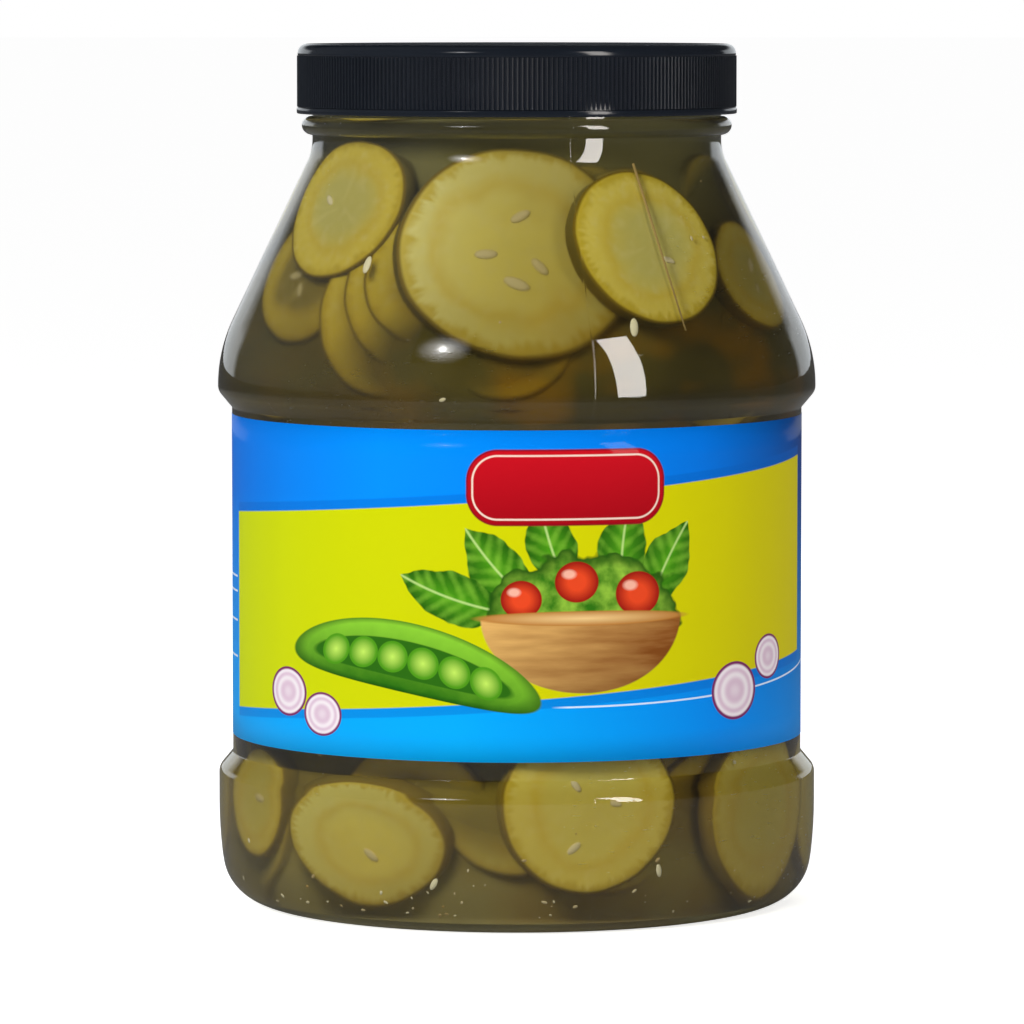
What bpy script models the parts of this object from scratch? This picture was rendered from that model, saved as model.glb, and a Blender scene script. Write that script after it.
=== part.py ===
"""Shut catering jar of sliced cucumber in brine: clear jar, ribbed cap, wrap label and the heap of slices.

The jar stands on z = 0 with its axis on Z, and its front looks along -Y. Lengths are in metres.
"""
import math
import random
from collections import namedtuple

import bmesh
import bpy
from mathutils import Matrix, Vector

# Jar, outer radii and heights above the table
NECK_RADIUS = 0.0492
LIP_TOP = 0.2052
BEAD_MIDDLE = 0.1875
BEAD_HALF_HEIGHT = 0.0023
BEAD_DEPTH = 0.00255
SHOULDER_START = 0.1841
NECK_FILLET = 0.012
SHOULDER_ANGLE = math.radians(25.1)
BODY_RADIUS = 0.0721
SHOULDER_ARC = 0.037
SHOULDER_FOOT = 0.1249
PANEL_RADIUS = 0.06815
CORNER_FILLET = 0.003
CORNER_ANGLE = math.radians(39.7)
BASE_TOP = 0.0314
BASE_WAIST = 0.0245
BASE_BARREL_ARC = 0.110
BASE_BARREL_SHARE = 0.8
FOOT_ARC = 0.0117
FOOT_RADIUS = 0.0595
FOOT_ARC_START = math.radians(-9)
REST_RING_INNER = 0.0530
PUSH_UP_RADIUS = 0.0450
PUSH_UP_EDGE = 0.0030
PUSH_UP_HEIGHT = 0.0050
WALL = 0.0010

# Wrap label
GAP = 0.0003
LABEL_THICKNESS = 0.00035
LABEL_BOTTOM = 0.0410
LABEL_TOP = 0.1183

# Cap
LID_TOP = 0.2070
LID_BOTTOM = 0.1903
LID_RADIUS = 0.05297
LID_BAND_TOP = 0.1918
LID_RIB_BOTTOM = 0.1921
LID_RIB_TOP = 0.2042
LID_RIB_ROOT = 0.05255
LID_RIB_OUTER = 0.05293
LID_RIBS = 288
LID_EDGE_ARC = 0.0022
LID_WALL = 0.0013

# Heap of slices
SLICE_THICKNESS = 0.0050
SLICE_SIDES = 14
SLICE_GAP = 0.0006
SLICE_BEND = 0.6
SLICE_RING_INSET = 0.45
STACK_SHIFT = 0.0025
STACK_TURN = 2
STACK_STEP = 0.9
STACK_RADIUS = 0.95
CORE_INSET = 0.0080
CORE_BOTTOM = 0.0095
CORE_TOP = 0.1960
CORE_HEIGHTS = (CORE_TOP, 0.180, 0.140, 0.125, 0.112, 0.042, 0.030, 0.018)
HEAP_SEED = 11

# Steps round a turned body, steps in a search for a distance, and how near two points count as one
TURNS = 48
SEARCH_STEPS = 24
NEAR = 0.00002

# Where a slice lies: degrees round the jar from its front, height, radius, how far its face is turned
# aside and leans up, in degrees, and how deep its nearest rim lies behind the wall.
Slice = namedtuple("Slice", "azimuth height radius turn lean depth")

FRONT_SLICES = [
    Slice(-51.3, 0.1683, 0.0192, 4, 25, 0.0000),
    Slice(0, 0.1583, 0.0277, 7, 22, 0.0000),
    Slice(33.2, 0.1597, 0.0199, 0, 24, 0.0000),
    Slice(-60, 0.1505, 0.0170, 4, 20, 0.0050),
    Slice(-30, 0.1435, 0.0195, 10, 14, 0.0042),
    Slice(-25, 0.1485, 0.0190, 10, 14, 0.0068),
    Slice(70, 0.1503, 0.0145, 0, 24, 0.0060),
    Slice(-33, 0.0208, 0.0178, 4, -14, 0.0000),
    Slice(-23.5, 0.0270, 0.0180, 4, -5, 0.0056),
    Slice(14.8, 0.0300, 0.0209, 0, 0, 0.0005),
    Slice(22.5, 0.0310, 0.0190, 4, 0, 0.0056),
    Slice(59.5, 0.0260, 0.0205, 2, -3, 0.0005),
    Slice(47, 0.0240, 0.0190, 0, -6, 0.0062),
    Slice(-67, 0.0270, 0.0130, 0, 0, 0.0035),
]

# Round the back the slices follow a rule: (height, lean, number of slices, first and last azimuth)
BACK_ROWS = [
    (0.1655, 24, 5, 100, 250),
    (0.1430, 20, 5, 112, 246),
    (0.0260, -4, 6, 92, 265),
]
# How far a slice round the back may stray: degrees round the jar, height and turn, and its radii
STRAY_AZIMUTH = 5
STRAY_HEIGHT = 0.003
STRAY_TURN = 6
BACK_RADII = (0.0165, 0.0205)
BACK_DEPTH = 0.0030


def clear_scene():
    for item in list(bpy.data.objects):
        bpy.data.objects.remove(item, do_unlink=True)


def new_collection(name):
    collection = bpy.data.collections.new(name)
    bpy.context.scene.collection.children.link(collection)
    return collection


def material(name, color, roughness, transmission=0.0, ior=1.5):
    made = bpy.data.materials.new(name)
    made.use_nodes = True
    shader = made.node_tree.nodes["Principled BSDF"]
    shader.inputs["Base Color"].default_value = (*color, 1.0)
    shader.inputs["Roughness"].default_value = roughness
    shader.inputs["Metallic"].default_value = 0.0
    shader.inputs["Transmission Weight"].default_value = transmission
    shader.inputs["IOR"].default_value = ior
    return made


def arc(centre, radius, start, end, steps, height=None):
    """Points (radius, height) along an arc, or an ellipse where its height is given."""
    rise = radius if height is None else height
    points = []
    for step in range(steps + 1):
        angle = start + (end - start) * step / steps
        points.append((centre[0] + radius * math.cos(angle), centre[1] + rise * math.sin(angle)))
    return points


def body_outline(fine=2):
    """The jar's outer side from the end of its neck down to the ring that it stands on."""
    fillet_centre = (NECK_RADIUS + NECK_FILLET, SHOULDER_START)
    neck = arc(fillet_centre, NECK_FILLET, math.pi, math.pi + SHOULDER_ANGLE, fine)
    shoulder = arc((BODY_RADIUS - SHOULDER_ARC, SHOULDER_FOOT), SHOULDER_ARC, SHOULDER_ANGLE, 0, 2 * fine)
    corner_centre = BODY_RADIUS - CORNER_FILLET
    upper_corner = arc((corner_centre, SHOULDER_FOOT), CORNER_FILLET, 0, -CORNER_ANGLE, fine)
    lower_corner = arc((corner_centre, BASE_TOP), CORNER_FILLET, CORNER_ANGLE, 0, fine)
    upper_end, lower_end = upper_corner[-1], lower_corner[0]
    panel_top = upper_end[1] - (upper_end[0] - PANEL_RADIUS) / math.tan(CORNER_ANGLE)
    panel_bottom = lower_end[1] + (lower_end[0] - PANEL_RADIUS) / math.tan(CORNER_ANGLE)
    foot = arc((FOOT_RADIUS, FOOT_ARC), FOOT_ARC, FOOT_ARC_START, -math.pi / 2, 2 * fine + 1)
    barrel_end = math.asin((BASE_WAIST - foot[0][1]) / BASE_BARREL_ARC)
    barrel = arc((BODY_RADIUS - BASE_BARREL_ARC, BASE_WAIST), BASE_BARREL_ARC, 0, -barrel_end * BASE_BARREL_SHARE, 1)
    outline = neck + shoulder + upper_corner[1:]
    outline += [(PANEL_RADIUS, panel_top), (PANEL_RADIUS, panel_bottom)]
    return outline + lower_corner + barrel + foot + [(REST_RING_INNER, 0.0)]


def moved_in(outline, distance):
    """The same outline moved towards the axis side by a distance, square to each of its points."""
    moved = []
    for index, (radius, height) in enumerate(outline):
        before = outline[max(index - 1, 0)]
        after = outline[min(index + 1, len(outline) - 1)]
        along = Vector((after[0] - before[0], after[1] - before[1])).normalized()
        moved.append((radius + along.y * distance, height - along.x * distance))
    return moved


def inner_radius(height):
    """The jar's inner radius at a height, read from its inner outline."""
    inner = moved_in(body_outline(1), WALL)
    if height >= inner[0][1]:
        return inner[0][0]
    for (upper_radius, upper), (lower_radius, lower) in zip(inner, inner[1:]):
        if lower <= height <= upper:
            share = (height - lower) / max(upper - lower, 1e-9)
            return lower_radius + (upper_radius - lower_radius) * share
    return inner[-1][0]


def turned(name, profile, collection, finish):
    """A body of revolution from a profile that starts and ends on the axis or closes on itself."""
    mesh = bpy.data.meshes.new(name)
    count = len(profile)
    closed = profile[0][0] > 0 and profile[-1][0] > 0
    edges = [(index, (index + 1) % count) for index in range(count if closed else count - 1)]
    mesh.from_pydata([(radius, 0.0, height) for radius, height in profile], edges, [])
    piece = bpy.data.objects.new(name, mesh)
    collection.objects.link(piece)
    screw = piece.modifiers.new("Turn", "SCREW")
    screw.axis = "Z"
    screw.steps = TURNS
    screw.render_steps = TURNS
    screw.use_merge_vertices = True
    screw.merge_threshold = NEAR
    mesh.materials.append(finish)
    return piece


def applied(piece):
    """The piece with its modifiers turned into its own mesh."""
    depsgraph = bpy.context.evaluated_depsgraph_get()
    mesh = bpy.data.meshes.new_from_object(piece.evaluated_get(depsgraph))
    old = piece.data
    piece.modifiers.clear()
    piece.data = mesh
    if isinstance(old, bpy.types.Mesh):
        bpy.data.meshes.remove(old)
    mesh.name = piece.name
    return piece


def smooth(piece, angle=30):
    piece.data.shade_smooth()
    piece.data.set_sharp_from_angle(angle=math.radians(angle))


def make_jar(collection):
    """Blow-moulded jar: lip, support bead, cone shoulder, label panel and a foot with a push-up."""
    bead = arc((NECK_RADIUS, BEAD_MIDDLE), BEAD_DEPTH, math.pi / 2, -math.pi / 2, 4, BEAD_HALF_HEIGHT)
    outer = [(NECK_RADIUS, LIP_TOP)] + bead + body_outline()
    outer += [(PUSH_UP_RADIUS, PUSH_UP_EDGE), (0.0, PUSH_UP_HEIGHT)]
    inner = moved_in(body_outline(1), WALL)
    inner += [(PUSH_UP_RADIUS, PUSH_UP_EDGE + WALL), (0.0, PUSH_UP_HEIGHT + WALL)]
    inner = list(reversed(inner)) + [(NECK_RADIUS - WALL, LIP_TOP)]
    clear = material("clear_pet", (0.93, 0.95, 0.93), 0.04, transmission=1.0, ior=1.57)
    smooth(applied(turned("jar", inner + outer, collection, clear)))


def make_label(collection):
    """Printed film wrapped once round the panel."""
    inner = PANEL_RADIUS + GAP
    outer = inner + LABEL_THICKNESS
    profile = [(inner, LABEL_BOTTOM), (inner, LABEL_TOP), (outer, LABEL_TOP), (outer, LABEL_BOTTOM)]
    film = material("printed_film", (0.01, 0.24, 0.86), 0.3)
    smooth(applied(turned("label", profile, collection, film)))


def rib_ring(collection):
    """The ring of upright ribs round the cap, as a flat outline with one tooth for each rib."""
    curve = bpy.data.curves.new("rib_outline", "CURVE")
    curve.dimensions = "2D"
    curve.fill_mode = "BOTH"
    curve.extrude = (LID_RIB_TOP - LID_RIB_BOTTOM) / 2
    rim = [LID_RIB_ROOT if tooth % 2 else LID_RIB_OUTER for tooth in range(LID_RIBS * 2)]
    inner = [LID_RIB_ROOT - LID_WALL / 2] * TURNS
    for radii in (rim, inner):
        spline = curve.splines.new("POLY")
        spline.points.add(len(radii) - 1)
        spline.use_cyclic_u = True
        for index, radius in enumerate(radii):
            angle = 2 * math.pi * index / len(radii)
            spline.points[index].co = (radius * math.cos(angle), radius * math.sin(angle), 0.0, 1.0)
    outline = bpy.data.objects.new("rib_outline", curve)
    collection.objects.link(outline)
    depsgraph = bpy.context.evaluated_depsgraph_get()
    depsgraph.update()
    mesh = bpy.data.meshes.new_from_object(outline.evaluated_get(depsgraph))
    bpy.data.objects.remove(outline, do_unlink=True)
    shape = bmesh.new()
    shape.from_mesh(mesh)
    bmesh.ops.remove_doubles(shape, verts=shape.verts, dist=NEAR / 2)
    bmesh.ops.recalc_face_normals(shape, faces=shape.faces)
    shape.to_mesh(mesh)
    shape.free()
    ring = bpy.data.objects.new("rib_ring", mesh)
    ring.location.z = (LID_RIB_TOP + LID_RIB_BOTTOM) / 2
    collection.objects.link(ring)
    return ring


def make_lid(collection, cutters):
    """Screw cap: flat top with a round edge, ribbed skirt and a smooth band along its lower edge."""
    skirt_inner = LID_RIB_ROOT - LID_WALL
    edge_centre = (LID_RIB_ROOT - LID_EDGE_ARC, LID_TOP - LID_EDGE_ARC)
    edge = arc(edge_centre, LID_EDGE_ARC, math.pi / 2, 0, 4)
    band = [(LID_RIB_ROOT, LID_BAND_TOP), (LID_RADIUS, LID_BAND_TOP), (LID_RADIUS, LID_BOTTOM)]
    inside = [(skirt_inner, LID_BOTTOM), (skirt_inner, LIP_TOP + GAP), (0.0, LIP_TOP + GAP)]
    plastic = material("black_plastic", (0.012, 0.013, 0.017), 0.32)
    lid = turned("lid", [(0.0, LID_TOP)] + edge + band + inside, collection, plastic)
    ring = rib_ring(cutters)
    join = lid.modifiers.new("Ribs", "BOOLEAN")
    join.operation = "UNION"
    join.solver = "EXACT"
    join.object = ring
    applied(lid)
    bpy.data.objects.remove(ring, do_unlink=True)
    smooth(lid)


def slice_frame(place, distance):
    """A slice's own axes and centre, at a distance from the jar's axis: x aside, y up, z outwards."""
    azimuth = math.radians(place.azimuth)
    facing = math.radians(place.azimuth + place.turn)
    lean = math.radians(place.lean)
    outwards = Vector((math.sin(facing) * math.cos(lean), -math.cos(facing) * math.cos(lean), math.sin(lean)))
    aside = Vector((math.cos(facing), math.sin(facing), 0.0))
    up = outwards.cross(aside)
    centre = Vector((math.sin(azimuth) * distance, -math.cos(azimuth) * distance, place.height))
    frame = Matrix((aside, up, outwards)).transposed().to_4x4()
    frame.translation = centre
    return frame


def bent(point, place):
    """A point of a flat slice after the slice has settled a little round the jar's wall."""
    sink = SLICE_BEND * point.x ** 2 / (2 * inner_radius(place.height))
    return Vector((point.x, point.y, point.z - sink))


def pushed_out(place):
    """The distance from the axis at which the slice's nearest rim is as deep as it should be."""
    low, high = 0.0, 2 * BODY_RADIUS
    for _ in range(SEARCH_STEPS):
        distance = (low + high) / 2
        frame = slice_frame(place, distance)
        room = 1.0
        for side in range(SLICE_SIDES):
            angle = 2 * math.pi * side / SLICE_SIDES
            rim = Vector((math.cos(angle), math.sin(angle), 0.0)) * place.radius
            point = frame @ bent(rim, place)
            room = min(room, inner_radius(point.z) - math.hypot(point.x, point.y))
        if room > place.depth + SLICE_GAP:
            low = distance
        else:
            high = distance
    return low


def make_slice(name, place, collection):
    """One round slice with a ring inside its rim, so that it can follow the wall."""
    shape = bmesh.new()
    bmesh.ops.create_circle(shape, cap_ends=True, segments=SLICE_SIDES, radius=place.radius)
    bmesh.ops.inset_region(shape, faces=list(shape.faces), thickness=place.radius * SLICE_RING_INSET)
    for vert in shape.verts:
        vert.co = bent(vert.co, place)
    bmesh.ops.transform(shape, matrix=slice_frame(place, pushed_out(place)), verts=shape.verts)
    mesh = bpy.data.meshes.new(name)
    shape.to_mesh(mesh)
    shape.free()
    piece = bpy.data.objects.new(name, mesh)
    collection.objects.link(piece)
    shell = piece.modifiers.new("Thickness", "SOLIDIFY")
    shell.thickness = SLICE_THICKNESS
    shell.offset = -1
    return applied(piece)


def back_slices():
    """The slices that the jar's front hides, spread evenly with a seeded unevenness."""
    draw = random.Random(HEAP_SEED)
    places = []
    for height, lean, count, first, last in BACK_ROWS:
        for index in range(count):
            azimuth = first + (last - first) * index / (count - 1)
            azimuth += draw.uniform(-STRAY_AZIMUTH, STRAY_AZIMUTH)
            radius = draw.uniform(*BACK_RADII)
            middle = height + draw.uniform(-STRAY_HEIGHT, STRAY_HEIGHT)
            depth = BACK_DEPTH * (index % 2)
            turn = draw.uniform(-STRAY_TURN, STRAY_TURN)
            places.append(Slice(azimuth, middle, radius, turn, lean, depth))
    return places


def keep_largest(piece):
    """Drops loose scraps and the skins of sealed hollows, so that one solid body is left."""
    shape = bmesh.new()
    shape.from_mesh(piece.data)
    bmesh.ops.remove_doubles(shape, verts=shape.verts, dist=NEAR)
    bmesh.ops.triangulate(shape, faces=shape.faces)
    unseen = set(shape.faces)
    bodies = []
    while unseen:
        body = set()
        front = {next(iter(unseen))}
        while front:
            body |= front
            edges = {edge for face in front for edge in face.edges if len(edge.link_faces) == 2}
            front = {face for edge in edges for face in edge.link_faces} - body
        unseen -= body
        bodies.append(body)
    largest = max(bodies, key=len)
    bmesh.ops.delete(shape, geom=[face for face in shape.faces if face not in largest], context="FACES")
    shape.to_mesh(piece.data)
    shape.free()


def make_heap(collection, loose):
    """Core of packed slices with the ones that show through the wall standing out of it."""
    draw = random.Random(HEAP_SEED + 1)
    core = [(0.0, CORE_TOP)]
    for height in CORE_HEIGHTS:
        core.append((inner_radius(height) - CORE_INSET, height))
    core += [(FOOT_RADIUS - CORE_INSET, CORE_BOTTOM), (0.0, CORE_BOTTOM)]
    flesh = material("cucumber", (0.36, 0.33, 0.09), 0.45)
    heap = turned("cucumber_slices", core, collection, flesh)
    for index, place in enumerate(FRONT_SLICES + back_slices()):
        make_slice(f"slice_{index}", place, loose)
        behind = place._replace(
            azimuth=place.azimuth + draw.uniform(-STACK_TURN, STACK_TURN),
            height=place.height + draw.uniform(-STACK_SHIFT, STACK_SHIFT),
            radius=place.radius * STACK_RADIUS,
            depth=place.depth + SLICE_THICKNESS * STACK_STEP,
        )
        make_slice(f"slice_{index}_behind", behind, loose)
    join = heap.modifiers.new("Heap", "BOOLEAN")
    join.operation = "UNION"
    join.solver = "MANIFOLD"
    join.operand_type = "COLLECTION"
    join.collection = loose
    applied(heap)
    keep_largest(heap)
    for piece in list(loose.objects):
        bpy.data.objects.remove(piece, do_unlink=True)
    smooth(heap, 25)


def main():
    clear_scene()
    model = new_collection("cucumber_jar")
    helpers = new_collection("helpers")
    loose = new_collection("loose_slices")
    make_jar(model)
    make_label(model)
    make_lid(model, helpers)
    make_heap(model, loose)


main()
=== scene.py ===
import bisect
import math
import random

import bmesh
import bpy
from mathutils import Matrix, Vector


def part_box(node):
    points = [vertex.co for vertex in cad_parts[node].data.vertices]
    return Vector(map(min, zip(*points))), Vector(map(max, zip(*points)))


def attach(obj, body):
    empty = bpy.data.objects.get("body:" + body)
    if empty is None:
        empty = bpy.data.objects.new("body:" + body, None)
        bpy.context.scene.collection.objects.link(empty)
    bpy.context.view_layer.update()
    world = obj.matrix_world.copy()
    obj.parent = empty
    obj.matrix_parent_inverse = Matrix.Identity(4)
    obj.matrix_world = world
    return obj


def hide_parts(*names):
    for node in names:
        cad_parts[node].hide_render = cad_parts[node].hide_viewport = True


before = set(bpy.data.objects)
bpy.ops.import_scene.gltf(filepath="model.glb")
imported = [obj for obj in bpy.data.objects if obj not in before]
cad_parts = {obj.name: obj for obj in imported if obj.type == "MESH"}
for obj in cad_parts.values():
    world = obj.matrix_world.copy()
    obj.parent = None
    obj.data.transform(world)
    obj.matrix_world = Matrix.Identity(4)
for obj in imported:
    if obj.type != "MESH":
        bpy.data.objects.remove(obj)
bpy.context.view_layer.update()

MM = 0.001


# Clear jar
# The jar is blown from clear plastic in one piece: a neck with a support bead, a cone shoulder, a sunk
# panel for the label and a bulged foot. The two halves of its mould leave a fine upright line on two sides.
jar_low, jar_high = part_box("jar")
label_low, label_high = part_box("label")
BODY_RADIUS = (jar_high[0] - jar_low[0]) / 2
LIP_TOP = jar_high[2]
PANEL_RADIUS = (label_high[0] - label_low[0]) / 2 - 0.06 * MM
NECK_RADIUS = 49.2 * MM
WALL = 1.0 * MM
BEAD_MIDDLE, BEAD_DEPTH, BEAD_HALF_HEIGHT = 187.5 * MM, 2.55 * MM, 2.3 * MM
SHOULDER_START, NECK_FILLET, SHOULDER_ANGLE = 184.1 * MM, 12 * MM, math.radians(25.1)
SHOULDER_FOOT, SHOULDER_ARC = 124.9 * MM, 37 * MM
CORNER_FILLET, CORNER_ANGLE, PANEL_FILLET = 3.0 * MM, math.radians(39.7), 0.5 * MM
BASE_TOP, BASE_WAIST, BASE_BARREL_ARC = 31.4 * MM, 24.5 * MM, 110 * MM
FOOT_RADIUS, FOOT_ARC, FOOT_ARC_START = 59.5 * MM, 11.7 * MM, math.radians(-9)
REST_RING_INNER = 53.0 * MM
BARREL_SHARE = 0.85
PUSH_UP_RADIUS, PUSH_UP_EDGE, PUSH_UP_HEIGHT = 45.0 * MM, 3.0 * MM, 5.0 * MM
SEAM_AZIMUTH, SEAM_HALF_WIDTH, SEAM_HEIGHT = 14.5, 0.12, 0.035 * MM
SHARP_ANGLE = math.radians(50)
PLASTIC_IOR = 1.57
PLASTIC_TINT = (0.98, 0.985, 0.98)


def in_scene(piece):
    bpy.context.scene.collection.objects.link(piece)


def arc(centre, radius, start, end, steps, height=None):
    """Points (radius, height) along an arc, or an ellipse where its height is given."""
    rise = radius if height is None else height
    turns = [start + (end - start) * step / steps for step in range(steps + 1)]
    return [(centre[0] + radius * math.cos(turn), centre[1] + rise * math.sin(turn)) for turn in turns]


def straight(first, last, steps):
    """Points strictly between two points of an outline."""
    shares = [step / steps for step in range(1, steps)]
    return [tuple(a + (b - a) * share for a, b in zip(first, last)) for share in shares]


def body_outline():
    """The jar's outer side from the end of its neck down to the ring that it stands on."""
    neck_centre = (NECK_RADIUS + NECK_FILLET, SHOULDER_START)
    neck = arc(neck_centre, NECK_FILLET, math.pi, math.pi + SHOULDER_ANGLE, 8)
    shoulder = arc((BODY_RADIUS - SHOULDER_ARC, SHOULDER_FOOT), SHOULDER_ARC, SHOULDER_ANGLE, 0, 14)
    corner_centre = BODY_RADIUS - CORNER_FILLET
    upper_corner = arc((corner_centre, SHOULDER_FOOT), CORNER_FILLET, 0, -CORNER_ANGLE, 6)
    lower_corner = arc((corner_centre, BASE_TOP), CORNER_FILLET, CORNER_ANGLE, 0, 6)
    drop = (upper_corner[-1][0] - PANEL_RADIUS) / math.tan(CORNER_ANGLE)
    panel_top = upper_corner[-1][1] - drop
    panel_bottom = lower_corner[0][1] + drop
    round_off = PANEL_FILLET * math.tan(CORNER_ANGLE / 2)
    upper_bend = arc((PANEL_RADIUS + PANEL_FILLET, panel_top - round_off), PANEL_FILLET,
                     math.pi - CORNER_ANGLE, math.pi, 4)
    lower_bend = arc((PANEL_RADIUS + PANEL_FILLET, panel_bottom + round_off), PANEL_FILLET,
                     math.pi, math.pi + CORNER_ANGLE, 4)
    foot = arc((FOOT_RADIUS, FOOT_ARC), FOOT_ARC, FOOT_ARC_START, -math.pi / 2, 16)
    barrel_end = math.asin((BASE_WAIST - foot[0][1]) / BASE_BARREL_ARC)
    barrel_centre = (BODY_RADIUS - BASE_BARREL_ARC, BASE_WAIST)
    barrel = arc(barrel_centre, BASE_BARREL_ARC, 0, -barrel_end * BARREL_SHARE, 4)
    cone = straight(neck[-1], shoulder[0], 8)
    panel = straight(upper_bend[-1], lower_bend[0], 6)
    outline = neck + cone + shoulder + upper_corner[1:] + upper_bend + panel + lower_bend
    return outline + lower_corner + barrel + foot + [(REST_RING_INNER, 0.0)]


def moved_in(outline, distance):
    """The same outline moved towards the axis by a distance, square to each of its points."""
    moved = []
    for index, (radius, height) in enumerate(outline):
        before = outline[max(index - 1, 0)]
        after = outline[min(index + 1, len(outline) - 1)]
        along = Vector((after[0] - before[0], after[1] - before[1])).normalized()
        moved.append((radius + along.y * distance, height - along.x * distance))
    return moved


def turned(name, outline, columns=192, seams=(), lift=0.0):
    """A turned mesh with its join at the back, closed where its outline starts and ends on the axis.
    UV: u goes once round, 0.5 at the front, and v runs along the outline."""
    azimuths = [360.0 * column / columns - 180.0 for column in range(columns)]
    for seam in seams:
        azimuths = [azimuth for azimuth in azimuths if abs(azimuth - seam) > 3 * SEAM_HALF_WIDTH]
        azimuths += [seam + SEAM_HALF_WIDTH * step for step in (-2, -1, -0.4, 0.4, 1, 2)]
    azimuths.sort()
    mesh = bmesh.new()
    uv_layer = mesh.loops.layers.uv.new("wrap")
    rows = []
    for radius, height in outline:
        if radius == 0.0:
            rows.append([mesh.verts.new((0.0, 0.0, height))] * len(azimuths))
            continue
        row = []
        for azimuth in azimuths:
            near = min([abs(azimuth - seam) for seam in seams], default=360.0)
            covered = label_low[2] - MM < height < label_high[2] + MM
            reach = radius + (lift if near < SEAM_HALF_WIDTH / 2 and not covered else 0.0)
            turn = math.radians(azimuth)
            row.append(mesh.verts.new((reach * math.sin(turn), -reach * math.cos(turn), height)))
        rows.append(row)
    count = len(outline)
    length = [0.0]
    for first, second in zip(outline, outline[1:]):
        length.append(length[-1] + math.dist(first, second))
    for row in range(count - 1):
        below = row + 1
        for column in range(len(azimuths)):
            beside = (column + 1) % len(azimuths)
            corners = [(row, column), (below, column), (below, beside), (row, beside)]
            verts = []
            uvs = []
            for index, (at_row, at_column) in enumerate(corners):
                vert = rows[at_row][at_column]
                if vert in verts:
                    continue
                verts.append(vert)
                turn = (azimuths[at_column] + 180.0) / 360.0
                if beside == 0 and index > 1:
                    turn = 1.0
                uvs.append((turn, 1.0 - length[at_row] / length[-1]))
            if len(verts) > 2:
                face = mesh.faces.new(verts)
                for loop, uv in zip(face.loops, uvs):
                    loop[uv_layer].uv = uv
    piece = bpy.data.objects.new(name, bpy.data.meshes.new(name))
    in_scene(piece)
    mesh.to_mesh(piece.data)
    mesh.free()
    piece.data.shade_smooth()
    piece.data.set_sharp_from_angle(angle=SHARP_ANGLE)
    return piece


class Wire:
    """A socket of a finish in the making. Arithmetic on it adds the Math nodes."""

    def __init__(self, finish, socket):
        self.finish = finish
        self.socket = socket

    def math(self, operation, *values, clamp=False):
        inputs = dict(enumerate((self, *values)))
        return self.finish.node("ShaderNodeMath", {"operation": operation, "use_clamp": clamp}, inputs)

    def __add__(self, other):
        return self.math("ADD", other)

    def __sub__(self, other):
        return self.math("SUBTRACT", other)

    def __mul__(self, other):
        return self.math("MULTIPLY", other)

    def __truediv__(self, other):
        return self.math("DIVIDE", other)

    def __rsub__(self, other):
        return (self * -1.0) + other

    __radd__ = __add__
    __rmul__ = __mul__

    def clamp(self):
        return self.math("ADD", 0.0, clamp=True)

    def over(self, edge, softness):
        """0 below the edge and 1 above it, with a soft step between."""
        return self.math("SUBTRACT", edge).math("DIVIDE", softness).math("ADD", 0.5, clamp=True)


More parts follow.
